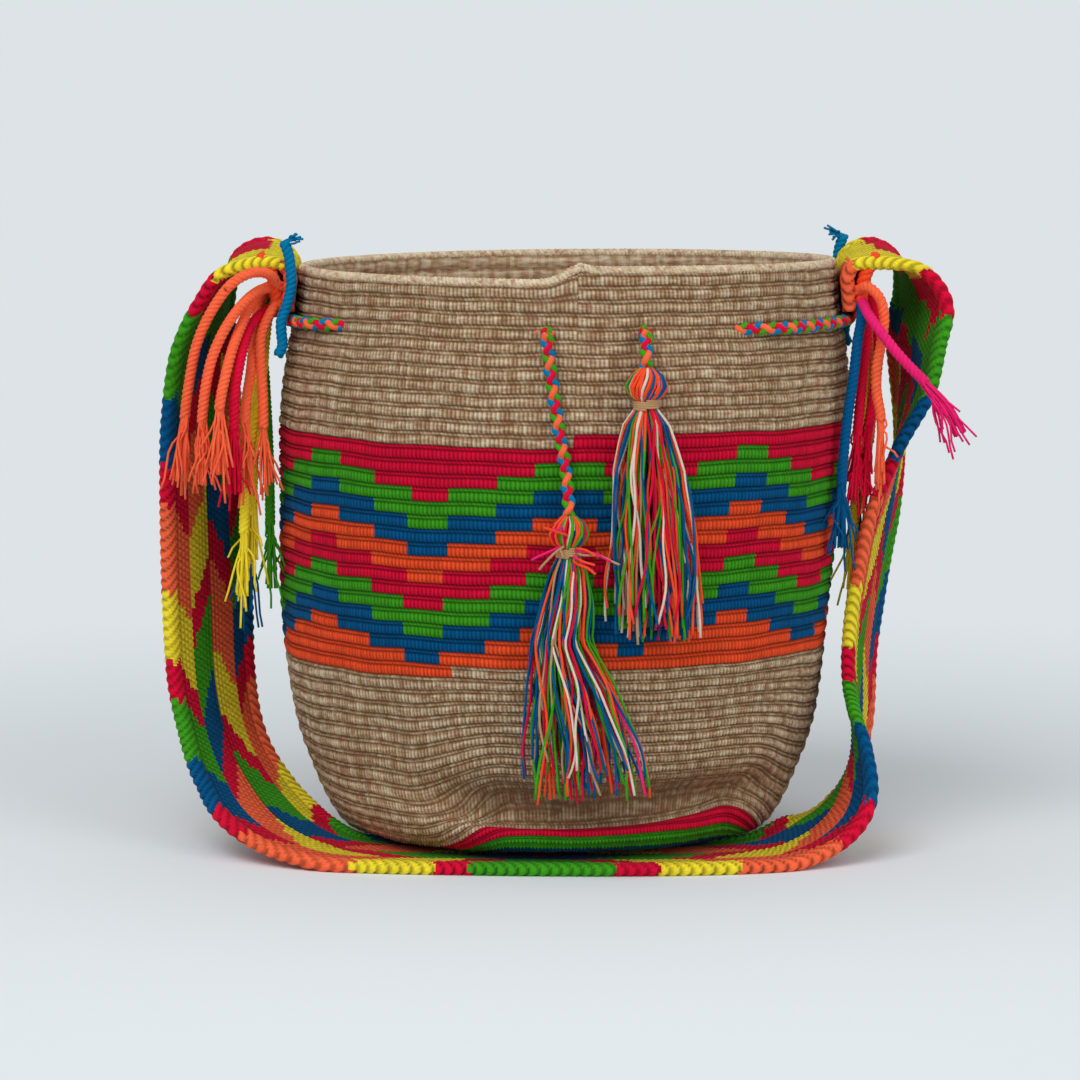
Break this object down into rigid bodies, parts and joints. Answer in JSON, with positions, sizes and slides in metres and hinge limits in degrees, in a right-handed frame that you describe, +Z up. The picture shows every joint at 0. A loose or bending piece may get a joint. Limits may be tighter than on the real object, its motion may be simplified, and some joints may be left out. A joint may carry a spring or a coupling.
{
  "type": "crochet drawstring bucket bag",
  "caption": "Round crochet bucket bag with a stepped zigzag band, a braided drawstring with tassels, and a wide plaited shoulder strap with loose tails.",
  "frame": {"origin": "on the flat underside of the sole, on the bag's upright axis", "axes": "+Z up through the mouth, -Y out of the front where the tassels hang, +X across the bag from one strap end to the other"},
  "size_m": [0.3804, 0.2433, 0.2906],
  "materials": {
    "natural_yarn": "matte",
    "strap_yarn": "matte",
    "braid_yarn": "matte",
    "tassel_yarn": "matte",
    "binding_yarn": "matte",
    "orange_yarn": "matte",
    "crimson_yarn": "matte",
    "pink_yarn": "matte",
    "yellow_yarn": "matte",
    "green_yarn": "matte",
    "blue_yarn": "matte"
  },
  "bodies": {
    "bag": {"bag_body": "natural_yarn", "shoulder_strap": "strap_yarn", "drawstring": "braid_yarn", "left_tail_1": "orange_yarn", "left_tail_2": "orange_yarn", "left_tail_3": "orange_yarn", "left_tail_4": "crimson_yarn", "left_tail_5": "orange_yarn", "left_tail_6": "yellow_yarn", "left_tail_7": "yellow_yarn", "left_tail_8": "orange_yarn", "left_tail_9": "green_yarn", "left_tail_10": "blue_yarn", "right_tail_1": "orange_yarn", "right_tail_2": "pink_yarn", "right_tail_3": "crimson_yarn", "right_tail_4": "crimson_yarn", "right_tail_5": "blue_yarn", "right_tail_6": "orange_yarn", "right_tail_7": "yellow_yarn", "right_tail_8": "green_yarn", "left_lashing": "blue_yarn", "right_lashing": "blue_yarn"},
    "left_hanging_end": {"left_drawcord": "braid_yarn", "left_tassel": "tassel_yarn", "left_tassel_binding": "binding_yarn"},
    "right_hanging_end": {"right_drawcord": "braid_yarn", "right_tassel": "tassel_yarn", "right_tassel_binding": "binding_yarn"}
  },
  "joints": [
    {"name": "left_tassel_swing", "type": "hinge", "parent": "bag", "child": "left_hanging_end", "pos_m": [-0.00434, -0.11063, 0.2525], "axis": [-1, 0, 0], "range_deg": [0, 75]},
    {"name": "right_tassel_swing", "type": "hinge", "parent": "bag", "child": "right_hanging_end", "pos_m": [0.04106, -0.10724, 0.2525], "axis": [-1, 0, 0], "range_deg": [0, 75]}
  ]
}
